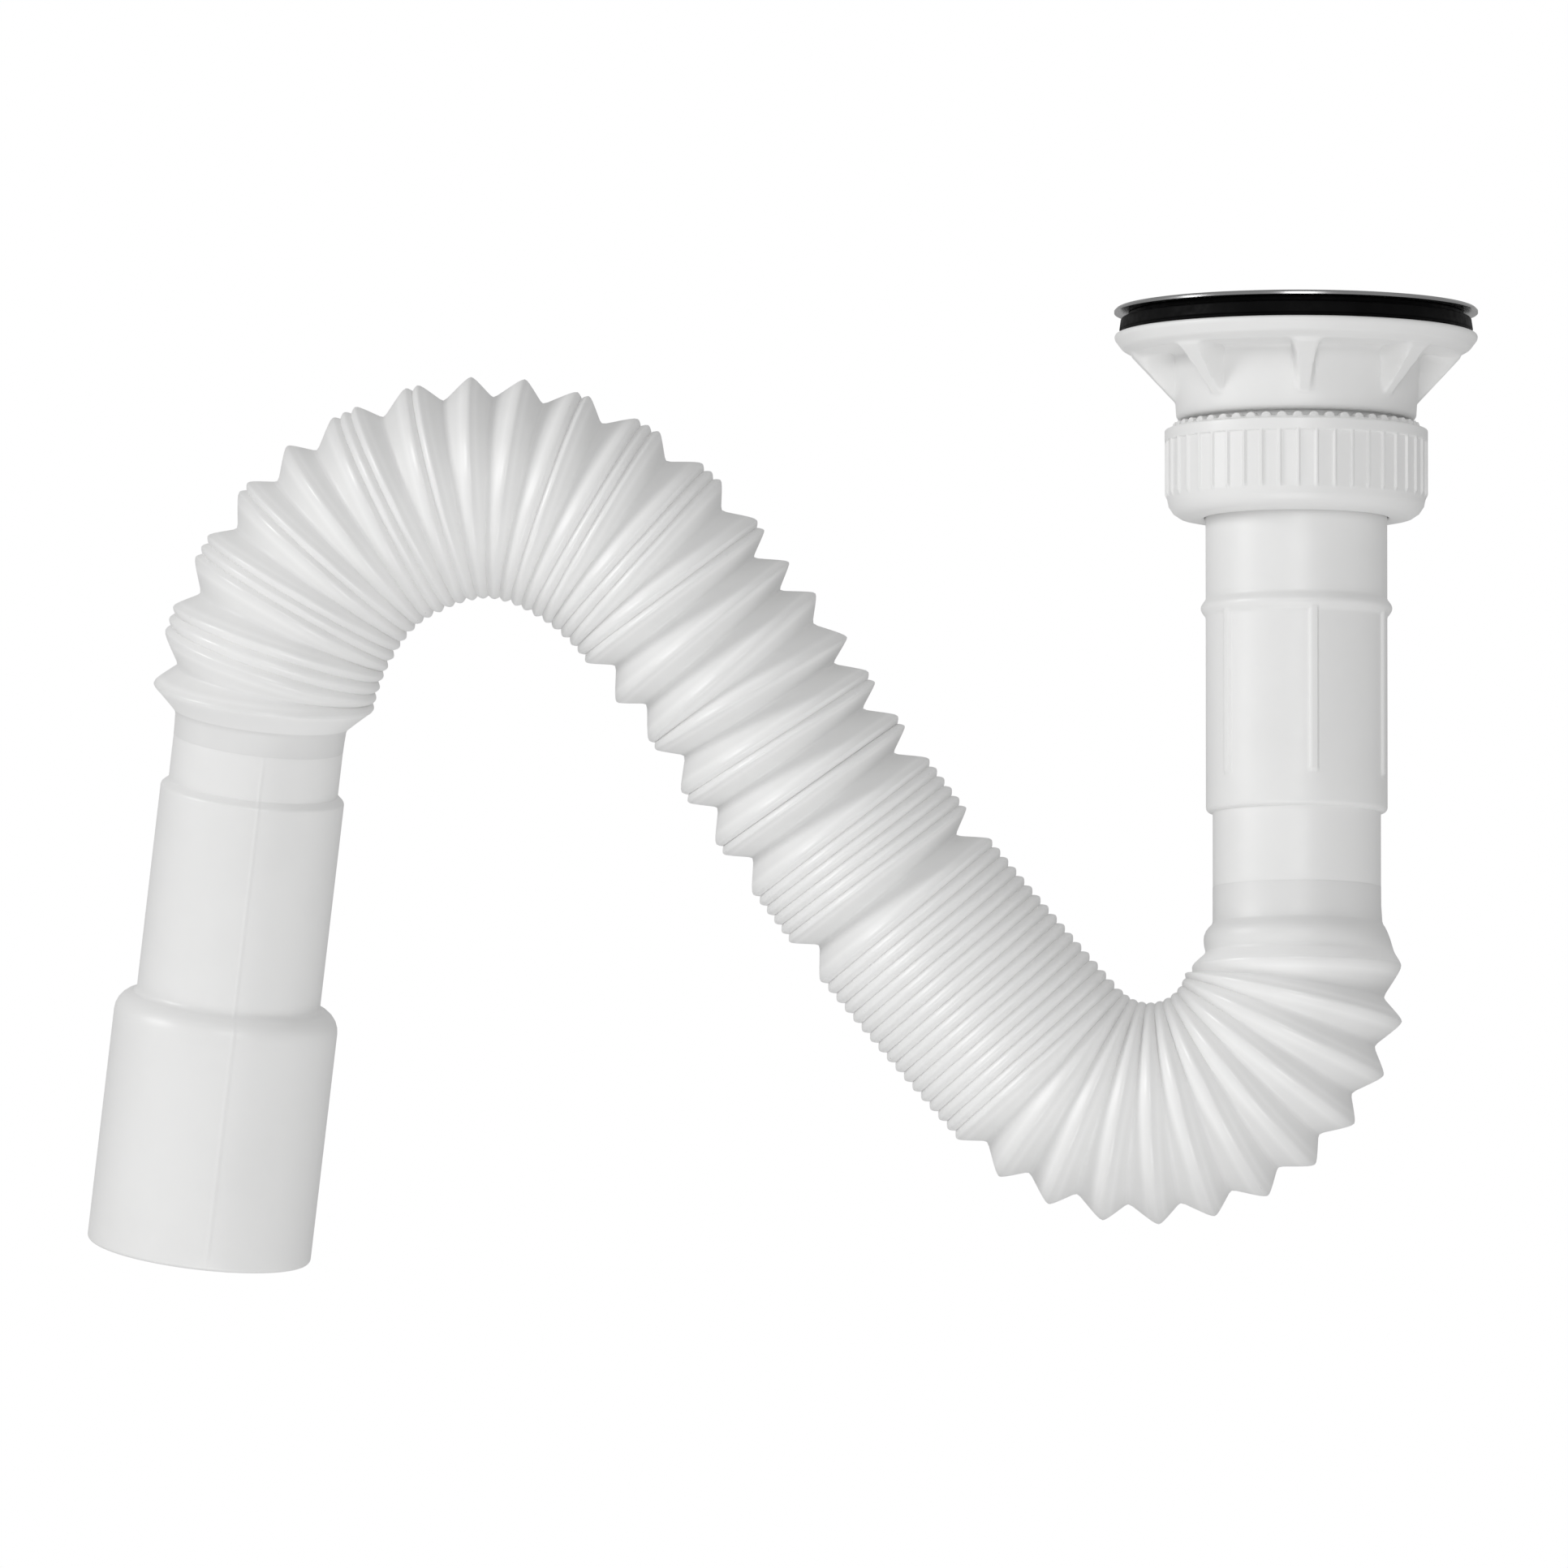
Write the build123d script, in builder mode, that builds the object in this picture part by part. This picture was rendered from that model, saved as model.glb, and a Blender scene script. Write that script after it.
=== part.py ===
from build123d import *
import math
import os

os.makedirs("parts", exist_ok=True)

# Flexible basin waste, in millimetres. The origin is on the tail's axis at the underside of the
# steel flange, where the basin is clamped. Z points up and X runs from the outlet to the tail.

# Fits
slip_gap = 0.3  # between pieces that turn or slide on each other
seat_gap = 0.05  # between pieces that are pressed or clamped together

# Strainer, pressed from steel sheet
flange_r = 40.4
sheet = 0.9
dish_top_r = 31.5
dish_floor_r = 27.0
dish_depth = 6.5
drain_hole_r = 3.6
drain_hole_ring_r = 15.5
drain_hole_count = 8

# Centre screw and its brass insert
screw_r = 3.0
screw_length = 26.0
screw_head_r = 6.0
screw_head_height = 2.6
screw_slot_width = 1.4
screw_slot_depth = 1.2
insert_r = 4.6
insert_height = 9.0

# Rubber gaskets
gasket_gap = 1.5  # from the strainer's dish to the gaskets' bore
thin_gasket_inset = 3.2  # from the flange's edge
thin_gasket_height = 1.2
thick_gasket_inset = 1.5
thick_gasket_flare = 0.5
thick_gasket_height = 3.4

# Waste body
rim_overhang = 0.1  # past the flange's edge
rim_height = 0.8
bowl_bulge = 4.0  # height of the round under the rim
bowl_taper = 3.7  # from the rim in to the bowl's foot
bowl_bore_r = 31.0
bowl_wall = 3.0
skirt_r = 27.4
skirt_taper = 0.8
skirt_height = 14.6
skirt_wall = 3.0
skirt_chamfer = 1.2
gusset_count = 8
gusset_phase = 3.0
gusset_width = 4.0
gusset_height = 10.2
spigot_r = 23.9
spigot_length = 15.2
waste_bore_r = 20.4
hub_r = 7.4
web_count = 4
web_width = 2.6
web_drop = 7.0  # from the bowl's rim down to the webs
web_lift = 1.6  # from the skirt's foot up to the webs

# Union nut
nut_r = 28.8
nut_drop = 0.7  # gap under the skirt
nut_chamfer = 1.4
nut_ledge = 1.6
nut_round = 4.6
nut_rib_count = 44
nut_rib_width = 0.9
nut_rib_depth = 0.45
nut_rib_length = 12.5
nut_rib_drop = 4.2  # from the nut's top to the ribs
nut_tooth_count = 48
nut_tooth_gap = 1.3
nut_tooth_height = 1.1

# Seal in the union
seal_height = 2.5

# Tail pipe
tail_r = 20.15
tail_wall = 2.2
collar_height = 2.5
collar_gap = 0.6  # collar to the nut's thread
bead_rise = 1.1
bead_height = 4.0
bead_drop = 18.0  # from the nut's foot to the bead
sleeve_length = 42.0  # from the bead to the step
sleeve_rib_count = 6
sleeve_rib_phase = -80.0
sleeve_rib_width = 2.0
sleeve_rib_depth = 0.65
sleeve_rib_length = 38.0
step_height = 1.5
tail_step = 1.5  # from the sleeve in to the lower end
lower_tail_length = 16.6
tail_cuff_wall = 1.85
tail_stub_length = 13.0  # stub inside the hose's cuff

# Bellows hose, blow-moulded with a plain cuff at each end
crest_r = 24.6
hose_wall = 1.0
shut_wall = 6.8  # from the crests to the bore where folds are shut
short_slant = 7.3  # slant of a cone from its crest to the root on the outlet side
long_slant = 8.6  # slant of the cone that faces it
bead_depth = 1.25  # groove left between two ridges when a fold is shut
tail_cuff_length = 8.2
dome_rise = 2.25
dome_height = 6.3
dome_taper = 0.6
first_ridge_drop = 2.9  # from the dome to the first ridge
first_ridge_inset = 1.5  # the first ridge stands lower than the rest
outlet_cone_height = 5.6
outlet_cuff_taper = 0.2
outlet_cuff_length = 7.1
tail_lean = 8.0  # the hose leaves the tail leaning back by this angle
outlet_lean = 8.0  # and leans back further where it reaches the outlet
lean_folds = 4  # folds that share each lean
stretch_sections = 6  # round sections joined by one loft

# Pitch between two ridges on the upper side and on the lower side, for each way a fold can stand
fold_pitch = {
    "U": (11.99, 2.33),  # open on the upper side
    "L": (1.78, 12.56),  # open on the lower side
    "O": (9.03, 11.19),  # open all round
    "C": (2.72, 2.65),  # shut
    "S": (2.76, 2.88),  # shut, in the long stack above the bend
}
open_upper = "UO"
open_lower = "LO"

# How each fold stands, from the tail round the bend, up the slope and over the arch to the outlet
bend_folds = "L" * 11
stack_folds = "S" * 16
slope_folds = "O" + "C" * 5 + "OCOCOUOO"
arch_folds = "CUCCUCCUCUUUCUCCUUCUCCUCCU"
folds = bend_folds + stack_folds + slope_folds + arch_folds

# Outlet, stepped for two pipe sizes
outlet_neck_r = 18.9
outlet_neck_length = 7.6
outlet_wall = 2.2
outlet_cuff_wall = 2.0
outlet_stub_length = 11.0  # stub inside the hose's cuff
small_pipe_r = 20.5
small_pipe_length = 46.0
small_shoulder = 2.2
large_pipe_r = 25.0
large_pipe_length = 51.0
large_shoulder = 6.5
outlet_chamfer = 0.9

# Radii and levels worked out from the sizes above
gasket_bore_r = dish_top_r + gasket_gap
thin_gasket_r = flange_r - thin_gasket_inset
thick_gasket_top_r = flange_r - thick_gasket_inset
thick_gasket_bottom_r = thick_gasket_top_r + thick_gasket_flare
rim_r = flange_r + rim_overhang
bowl_foot_r = rim_r - bowl_taper
skirt_bottom_r = skirt_r - skirt_taper
bead_r = tail_r + bead_rise
lower_tail_r = tail_r - tail_step
tail_stub_r = lower_tail_r - tail_cuff_wall
dome_r = lower_tail_r + dome_rise
dome_foot_r = dome_r - dome_taper
hose_bore_r = crest_r - shut_wall
outlet_cuff_top_r = outlet_neck_r + outlet_cuff_taper
outlet_stub_r = outlet_neck_r - outlet_cuff_wall
thick_gasket_top = -thin_gasket_height
rim_top = thick_gasket_top - thick_gasket_height
bowl_foot = rim_top - rim_height - bowl_bulge
skirt_bottom = bowl_foot - skirt_height
spigot_bottom = skirt_bottom - spigot_length
seal_bottom = spigot_bottom - seat_gap - seal_height
collar_top = seal_bottom - seat_gap
collar_bottom = collar_top - collar_height
nut_top = skirt_bottom - nut_drop
nut_bottom = collar_bottom - seat_gap - nut_ledge
nut_bore_r = spigot_r + slip_gap
collar_r = nut_bore_r - collar_gap
bead_top = nut_bottom - bead_drop
sleeve_bottom = bead_top - bead_height - sleeve_length
lower_tail_top = sleeve_bottom - step_height
lower_tail_bottom = lower_tail_top - lower_tail_length
dish_floor = -dish_depth
web_top = rim_top - web_drop
web_height = web_top - skirt_bottom - web_lift
tail_bore_r = tail_stub_r - tail_wall

with BuildPart() as strainer_flange:
    with BuildSketch(Plane.XZ):
        with BuildLine():
            Polyline(
                (screw_r + slip_gap, dish_floor + sheet),
                (dish_floor_r - sheet, dish_floor + sheet),
                (dish_top_r - sheet, sheet),
                (flange_r - sheet / 2, sheet),
                (flange_r, sheet / 2),
                (flange_r, 0),
                (dish_top_r, 0),
                (dish_floor_r, dish_floor),
                (screw_r + slip_gap, dish_floor),
                close=True,
            )
        make_face()
    revolve(axis=Axis.Z)
    with BuildSketch(Plane.XY.offset(dish_floor)):
        with PolarLocations(drain_hole_ring_r, drain_hole_count):
            Circle(drain_hole_r)
    extrude(amount=sheet, mode=Mode.SUBTRACT)
strainer_flange.part.label = "strainer_flange"
export_step(strainer_flange.part, "parts/strainer_flange.step")

screw_seat = dish_floor + sheet
with BuildPart() as centre_screw:
    with BuildSketch(Plane.XY.offset(screw_seat)):
        Circle(screw_head_r)
    extrude(amount=screw_head_height)
    chamfer(centre_screw.edges().group_by(Axis.Z)[-1], screw_head_height / 3)
    with BuildSketch(Plane.XY.offset(screw_seat + screw_head_height)):
        Rectangle(2 * screw_head_r, screw_slot_width)
    extrude(amount=-screw_slot_depth, mode=Mode.SUBTRACT)
    with BuildSketch(Plane.XY.offset(screw_seat)):
        Circle(screw_r)
    extrude(amount=-screw_length)
    chamfer(centre_screw.edges().group_by(Axis.Z)[0], screw_r / 4)
centre_screw.part.label = "centre_screw"
export_step(centre_screw.part, "parts/centre_screw.step")

with BuildPart() as screw_insert:
    with BuildSketch(Plane.XY.offset(web_top)):
        RegularPolygon(insert_r, 6)
        Circle(screw_r + seat_gap, mode=Mode.SUBTRACT)
    extrude(amount=-insert_height)
screw_insert.part.label = "screw_insert"
export_step(screw_insert.part, "parts/screw_insert.step")

with BuildPart() as flange_gasket:
    with BuildSketch(Plane.XY):
        Circle(thin_gasket_r)
        Circle(gasket_bore_r, mode=Mode.SUBTRACT)
    extrude(amount=-thin_gasket_height)
flange_gasket.part.label = "flange_gasket"
export_step(flange_gasket.part, "parts/flange_gasket.step")

with BuildPart() as basin_gasket:
    with BuildSketch(Plane.XZ):
        with BuildLine():
            Polyline(
                (gasket_bore_r, thick_gasket_top),
                (thick_gasket_top_r, thick_gasket_top),
                (thick_gasket_bottom_r, rim_top),
                (gasket_bore_r, rim_top),
                close=True,
            )
        make_face()
    revolve(axis=Axis.Z)
basin_gasket.part.label = "basin_gasket"
export_step(basin_gasket.part, "parts/basin_gasket.step")

skirt_bore_r = skirt_r - skirt_wall
gusset_root_r = skirt_r - skirt_wall / 2
web_length = gusset_root_r - hub_r / 2
with BuildPart() as waste_body:
    with BuildSketch(Plane.XZ):
        with BuildLine():
            rim = Polyline((bowl_bore_r, rim_top), (rim_r, rim_top), (rim_r, rim_top - rim_height))
            bulge = TangentArc(rim @ 1, (bowl_foot_r, bowl_foot), tangent=(0, -1))
            Polyline(
                bulge @ 1,
                (skirt_r, bowl_foot),
                (skirt_bottom_r, skirt_bottom + skirt_chamfer),
                (skirt_bottom_r - skirt_chamfer, skirt_bottom),
                (spigot_r, skirt_bottom),
                (spigot_r, spigot_bottom),
                (waste_bore_r, spigot_bottom),
                (waste_bore_r, skirt_bottom),
                (skirt_bore_r, skirt_bottom + skirt_wall),
                (skirt_bore_r, bowl_foot),
                (bowl_bore_r, bowl_foot + bowl_wall),
                rim @ 0,
            )
        make_face()
    revolve(axis=Axis.Z)
    # Gussets carry the bowl on the skirt
    for turn in PolarLocations(0, gusset_count, start_angle=gusset_phase):
        with BuildSketch(Plane(turn * Plane.XZ.location)):
            with BuildLine():
                Polyline(
                    (gusset_root_r, bowl_foot + seat_gap),
                    (bowl_foot_r, bowl_foot + seat_gap),
                    (skirt_r, bowl_foot - gusset_height),
                    (gusset_root_r, bowl_foot - gusset_height),
                    close=True,
                )
            make_face()
        extrude(amount=gusset_width / 2, both=True)
    # Hub for the insert, on webs across the bore
    with BuildSketch(Plane.XY.offset(web_top)):
        Circle(hub_r)
        with PolarLocations(gusset_root_r - web_length / 2, web_count):
            Rectangle(web_length, web_width)
        RegularPolygon(insert_r + seat_gap, 6, mode=Mode.SUBTRACT)
    extrude(amount=-web_height)
waste_body.part.label = "waste_body"
export_step(waste_body.part, "parts/waste_body.step")

with BuildPart() as union_nut:
    with BuildSketch(Plane.XZ):
        with BuildLine():
            side = Polyline(
                (nut_bore_r, nut_top),
                (nut_r - nut_chamfer, nut_top),
                (nut_r, nut_top - nut_chamfer),
                (nut_r, nut_bottom + nut_round),
            )
            foot = RadiusArc(side @ 1, (nut_r - nut_round, nut_bottom), nut_round)
            Polyline(
                foot @ 1,
                (tail_r + slip_gap, nut_bottom),
                (tail_r + slip_gap, nut_bottom + nut_ledge),
                (nut_bore_r, nut_bottom + nut_ledge),
                side @ 0,
            )
        make_face()
    revolve(axis=Axis.Z)
    # Grip ribs
    with BuildSketch(Plane.XY.offset(nut_top - nut_rib_drop)):
        with PolarLocations(nut_r, nut_rib_count):
            Rectangle(2 * nut_rib_depth, nut_rib_width)
    extrude(amount=-nut_rib_length)
    # Toothed top edge
    with BuildSketch(Plane.XY.offset(nut_top)):
        with PolarLocations((nut_bore_r + nut_r) / 2, nut_tooth_count):
            Rectangle(nut_r, nut_tooth_gap)
    extrude(amount=-nut_tooth_height, mode=Mode.SUBTRACT)
union_nut.part.label = "union_nut"
export_step(union_nut.part, "parts/union_nut.step")

with BuildPart() as tail_seal:
    with BuildSketch(Plane.XY.offset(seal_bottom)):
        Circle(collar_r)
        Circle(waste_bore_r, mode=Mode.SUBTRACT)
    extrude(amount=seal_height)
tail_seal.part.label = "tail_seal"
export_step(tail_seal.part, "parts/tail_seal.step")

with BuildPart() as tail_pipe:
    with BuildSketch(Plane.XZ):
        with BuildLine():
            upper = Polyline(
                (tail_r - tail_wall, collar_top),
                (collar_r, collar_top),
                (collar_r, collar_bottom),
                (tail_r, collar_bottom),
                (tail_r, bead_top),
            )
            bead = ThreePointArc(
                upper @ 1, (bead_r, bead_top - bead_height / 2), (tail_r, bead_top - bead_height)
            )
            sleeve = Line(bead @ 1, (tail_r, sleeve_bottom))
            step = TangentArc(sleeve @ 1, (lower_tail_r, lower_tail_top), tangent=(0, -1))
            Polyline(
                step @ 1,
                (lower_tail_r, lower_tail_bottom),
                (tail_stub_r, lower_tail_bottom),
                (tail_stub_r, lower_tail_bottom - tail_stub_length),
                (tail_bore_r, lower_tail_bottom - tail_stub_length),
                (tail_bore_r, lower_tail_top),
                (tail_r - tail_wall, sleeve_bottom),
                upper @ 0,
            )
        make_face()
    revolve(axis=Axis.Z)
    with BuildSketch(Plane.XY.offset(bead_top - bead_height / 2)):
        with PolarLocations(tail_r, sleeve_rib_count, start_angle=sleeve_rib_phase):
            Rectangle(2 * sleeve_rib_depth, sleeve_rib_width)
    extrude(amount=-sleeve_rib_length)
tail_pipe.part.label = "tail_pipe"
export_step(tail_pipe.part, "parts/tail_pipe.step")


# A ridge of the hose is a frame: Z runs along the hose towards the outlet and X to its upper side.
def upper_point(ridge, radius):
    return (ridge * Location((radius, 0, 0))).position


def lower_point(ridge, radius):
    return upper_point(ridge, -radius)


# The round section through a point on the upper side and one on the lower side
def section(upper, lower, ridge):
    across = Plane(ridge).y_dir
    span = upper - lower
    return Plane((upper + lower) * 0.5, x_dir=span, z_dir=span.cross(across)), span.length / 2


# The root between two crests on one side, where the two slants meet, or a shallow groove if it is shut
def root(crest, next_crest, centre, is_open, shut_depth, extra):
    pitch = next_crest - crest
    along = 0.5
    depth = shut_depth
    if is_open:
        along = (long_slant**2 - short_slant**2 + pitch.length**2) / (2 * pitch.length**2)
        depth = math.sqrt(long_slant**2 - (along * pitch.length) ** 2) + extra
    foot = crest + pitch * along
    inward = centre - foot
    return foot + (inward - pitch.normalized() * inward.dot(pitch.normalized())).normalized() * depth


dome_top = lower_tail_bottom - tail_cuff_length
dome_foot = dome_top - dome_height
hose_start = Plane((0, 0, dome_foot - first_ridge_drop), x_dir=(-1, 0, 0), z_dir=(0, 0, -1))
ridges = [hose_start.location]
for count, fold in enumerate(folds):
    upper_pitch, lower_pitch = fold_pitch[fold]
    bend = math.degrees((upper_pitch - lower_pitch) / (2 * crest_r))
    lean = 0
    if count < lean_folds:
        lean = tail_lean / lean_folds
    if count >= len(folds) - lean_folds:
        lean = outlet_lean / lean_folds
    half_turn = Location((0, 0, 0), (-lean / 2, -bend / 2, 0))
    ridges.append(ridges[-1] * half_turn * Location((0, 0, (upper_pitch + lower_pitch) / 2)) * half_turn)

outer_sections = []
inner_sections = []
for count, fold in enumerate(folds):
    ridge = ridges[count]
    next_ridge = ridges[count + 1]
    centre = (ridge.position + next_ridge.position) * 0.5
    upper_crests = upper_point(ridge, crest_r), upper_point(next_ridge, crest_r)
    lower_crests = lower_point(ridge, crest_r), lower_point(next_ridge, crest_r)
    is_upper = fold in open_upper
    is_lower = fold in open_lower
    outer_sections.append((Plane(ridge), crest_r - first_ridge_inset if count == 0 else crest_r))
    outer_sections.append(
        section(
            root(*upper_crests, centre, is_upper, bead_depth, 0),
            root(*lower_crests, centre, is_lower, bead_depth, 0),
            ridge,
        )
    )
    # The inner wall follows a ridge that stands between two open folds
    upper_ridge = is_upper and count > 0 and folds[count - 1] in open_upper
    lower_ridge = is_lower and count > 0 and folds[count - 1] in open_lower
    if upper_ridge or lower_ridge:
        inner_sections.append(
            section(
                upper_point(ridge, crest_r - hose_wall if upper_ridge else hose_bore_r),
                lower_point(ridge, crest_r - hose_wall if lower_ridge else hose_bore_r),
                ridge,
            )
        )
    # Shut folds are packed solid, so the bore runs straight through them
    if is_upper or is_lower:
        inner_sections.append(
            section(
                root(*upper_crests, centre, is_upper, shut_wall, hose_wall),
                root(*lower_crests, centre, is_lower, shut_wall, hose_wall),
                ridge,
            )
        )
outlet_end = ridges[-1]
outer_sections.append((Plane(outlet_end), crest_r))

hose_top = Plane((0, 0, lower_tail_bottom), x_dir=(-1, 0, 0), z_dir=(0, 0, -1))
cuff_bore_r = tail_stub_r + seat_gap
cuff_top = Plane(outlet_end * Location((0, 0, outlet_cone_height)))
cuff_foot = cuff_top.offset(outlet_cuff_length)
outlet_bore_r = outlet_stub_r + seat_gap
outer_wall = [
    (hose_top, lower_tail_r),
    (hose_top.offset(tail_cuff_length), lower_tail_r),
    (hose_top.offset(tail_cuff_length + dome_height / 5), (lower_tail_r + 3 * dome_r) / 4),
    (hose_top.offset(tail_cuff_length + dome_height / 2), dome_r),
    (hose_top.offset(tail_cuff_length + dome_height), dome_foot_r),
    *outer_sections,
    (cuff_top, outlet_cuff_top_r),
    (cuff_foot, outlet_neck_r),
]
inner_wall = [
    (hose_top, cuff_bore_r),
    (hose_top.offset(tail_cuff_length + dome_height), cuff_bore_r),
    *inner_sections,
    (cuff_top, outlet_bore_r),
    (cuff_foot, outlet_bore_r),
]
with BuildPart() as bellows_hose:
    # The hose turns too far for one loft, so each wall is lofted a stretch at a time
    for wall, mode in [(outer_wall, Mode.ADD), (inner_wall, Mode.SUBTRACT)]:
        for start in range(0, len(wall) - 1, stretch_sections):
            for plane, radius in wall[start : start + stretch_sections + 1]:
                with BuildSketch(plane):
                    Circle(radius)
            loft(ruled=True, mode=mode)
bellows_hose.part.label = "bellows_hose"
export_step(bellows_hose.part, "parts/bellows_hose.step")

# The outlet is turned about its own axis, which runs on from the hose
neck_end = outlet_neck_length
small_start = neck_end + small_shoulder
small_end = small_start + small_pipe_length
large_start = small_end + large_shoulder
large_end = large_start + large_pipe_length
outlet_inner_r = outlet_stub_r - outlet_wall
small_bore_r = small_pipe_r - outlet_wall
large_bore_r = large_pipe_r - outlet_wall
profile = Plane(cuff_foot.origin, x_dir=cuff_foot.x_dir, z_dir=-cuff_foot.y_dir)
with BuildPart() as outlet_spigot:
    with BuildSketch(profile):
        with BuildLine():
            neck = Polyline(
                (outlet_inner_r, -outlet_stub_length),
                (outlet_stub_r, -outlet_stub_length),
                (outlet_stub_r, 0),
                (outlet_neck_r, 0),
                (outlet_neck_r, neck_end),
                (small_pipe_r, small_start),
                (small_pipe_r, small_end),
            )
            shoulder = TangentArc((large_pipe_r, large_start), neck @ 1, tangent=(0, -1))
            Polyline(
                shoulder @ 0,
                (large_pipe_r, large_end - outlet_chamfer),
                (large_pipe_r - outlet_chamfer, large_end),
                (large_bore_r, large_end),
                (large_bore_r, large_start),
                (small_bore_r, small_end),
                (small_bore_r, small_start),
                (outlet_inner_r, neck_end),
                neck @ 0,
            )
        make_face()
    revolve(axis=Axis(cuff_foot.origin, cuff_foot.z_dir))
outlet_spigot.part.label = "outlet_spigot"
export_step(outlet_spigot.part, "parts/outlet_spigot.step")
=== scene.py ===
import bmesh
import bpy
import math
import numpy as np
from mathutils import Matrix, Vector


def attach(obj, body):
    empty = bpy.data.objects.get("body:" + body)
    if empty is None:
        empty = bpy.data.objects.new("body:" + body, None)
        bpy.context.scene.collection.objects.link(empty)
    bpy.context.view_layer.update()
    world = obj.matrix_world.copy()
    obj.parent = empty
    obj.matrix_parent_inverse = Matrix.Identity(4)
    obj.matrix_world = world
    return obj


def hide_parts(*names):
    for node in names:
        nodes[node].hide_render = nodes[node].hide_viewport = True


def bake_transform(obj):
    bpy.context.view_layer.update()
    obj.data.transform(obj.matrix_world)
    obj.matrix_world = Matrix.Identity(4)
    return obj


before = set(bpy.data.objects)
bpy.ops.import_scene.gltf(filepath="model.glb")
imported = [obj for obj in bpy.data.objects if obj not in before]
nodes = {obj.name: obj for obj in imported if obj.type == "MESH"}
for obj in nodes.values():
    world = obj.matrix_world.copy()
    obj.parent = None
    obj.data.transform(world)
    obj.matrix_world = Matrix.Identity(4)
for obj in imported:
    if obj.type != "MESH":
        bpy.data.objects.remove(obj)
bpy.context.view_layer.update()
scene = bpy.context.scene
mm = 0.001
print("frame loaded:", len(nodes), "nodes")


# Each corner (r, z, round) of a closed outline becomes an arc that touches both of its sides.
def roundedLoop(corners, steps=5):
    table = np.array(corners, float)
    point, rounding = table[:, :2], table[:, 2]
    back = np.roll(point, 1, 0) - point
    ahead = np.roll(point, -1, 0) - point
    back /= np.linalg.norm(back, axis=1)[:, None]
    ahead /= np.linalg.norm(ahead, axis=1)[:, None]
    half = np.arccos(np.clip((back * ahead).sum(1), -1, 1)) / 2
    cut = (rounding / np.tan(half))[:, None]
    start, end = point + back * cut, point + ahead * cut
    middle = back + ahead
    middle /= np.linalg.norm(middle, axis=1)[:, None]
    centre = point + middle * (rounding / np.sin(half))[:, None]
    turn = (np.pi - 2 * half)[:, None, None]
    t = np.linspace(0, 1, steps)[None, :, None]
    first, last = (start - centre)[:, None], (end - centre)[:, None]
    arc = centre[:, None] + (np.sin((1 - t) * turn) * first + np.sin(t * turn) * last) / np.sin(turn)
    return arc.reshape(-1, 2)


# Long sides of a closed outline get more points, so that ribs and threads can start anywhere on them.
def filledLoop(loop, step):
    closed = np.vstack([loop, loop[:1]])
    length = np.concatenate([[0], np.cumsum(np.linalg.norm(np.diff(closed, axis=0), axis=1))])
    even = np.linspace(0, length[-1], int(length[-1] / step), endpoint=False)
    near = np.abs(even[:, None] - length[None]).min(1) < step * 0.3
    at = np.union1d(length[:-1], even[~near])
    return np.stack([np.interp(at, length, closed[:, k]) for k in (0, 1)], 1)


# Corners and the rows marked as close work stay, and one in twelve of the rows along a straight side.
def thinnedLoop(loop, close, every=12):
    before = loop - np.roll(loop, 1, axis=0)
    after = np.roll(loop, -1, axis=0) - loop
    turn = np.abs(before[:, 0] * after[:, 1] - before[:, 1] * after[:, 0])
    straight = turn < 1e-6 * np.hypot(*before.T) * np.hypot(*after.T) + 1e-12
    return loop[~straight | close | (np.arange(len(loop)) % every == 0)]


# A point (r, z) at angle a about the Z axis is (r cos a, r sin a, z).
def turnedGrid(radius, height, angle):
    radius, height, angle = np.broadcast_arrays(radius, height, angle)
    return np.stack([radius * np.cos(angle), radius * np.sin(angle), height], -1)


# Quads over a grid of rows that closes on itself both ways, turned round if the volume inside is negative.
def ringShell(rows):
    count, around = rows.shape[:2]
    index = np.arange(count * around).reshape(count, around)
    beside = np.roll(index, -1, 1)
    quads = np.stack([index, beside, np.roll(beside, -1, 0), np.roll(index, -1, 0)], -1).reshape(-1, 4)
    points = rows.reshape(-1, 3)
    a, b, c, d = (points[quads[:, k]] for k in range(4))
    volume = (np.cross(a, b) * c).sum() + (np.cross(a, c) * d).sum()
    return points, quads if volume > 0 else quads[:, ::-1]


# A plate: an outline in one plane, carried across its thickness with rounded edges and closed at both faces.
def plateShell(loop, half, edge, place):
    centre = loop.mean(0)
    spread = np.linalg.norm(loop - centre, axis=1).max()
    bend = np.radians([90, 60, 30, 0])
    inset = edge * (1 - np.cos(bend))
    side = half - edge + edge * np.sin(bend)
    across = np.concatenate([[half], side, -side[::-1], [-half]])
    shrink = np.concatenate([[spread], inset, inset[::-1], [spread]])[:, None, None]
    flat = centre + (loop - centre)[None] * (1 - shrink / spread)
    rows = place(flat[..., 0], np.broadcast_to(across[:, None], flat.shape[:2]), flat[..., 1])
    count, around = rows.shape[:2]
    points, quads = ringShell(rows)
    keep = quads.max(1) - quads.min(1) < (count - 1) * around - around
    return points, quads[keep]


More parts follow.
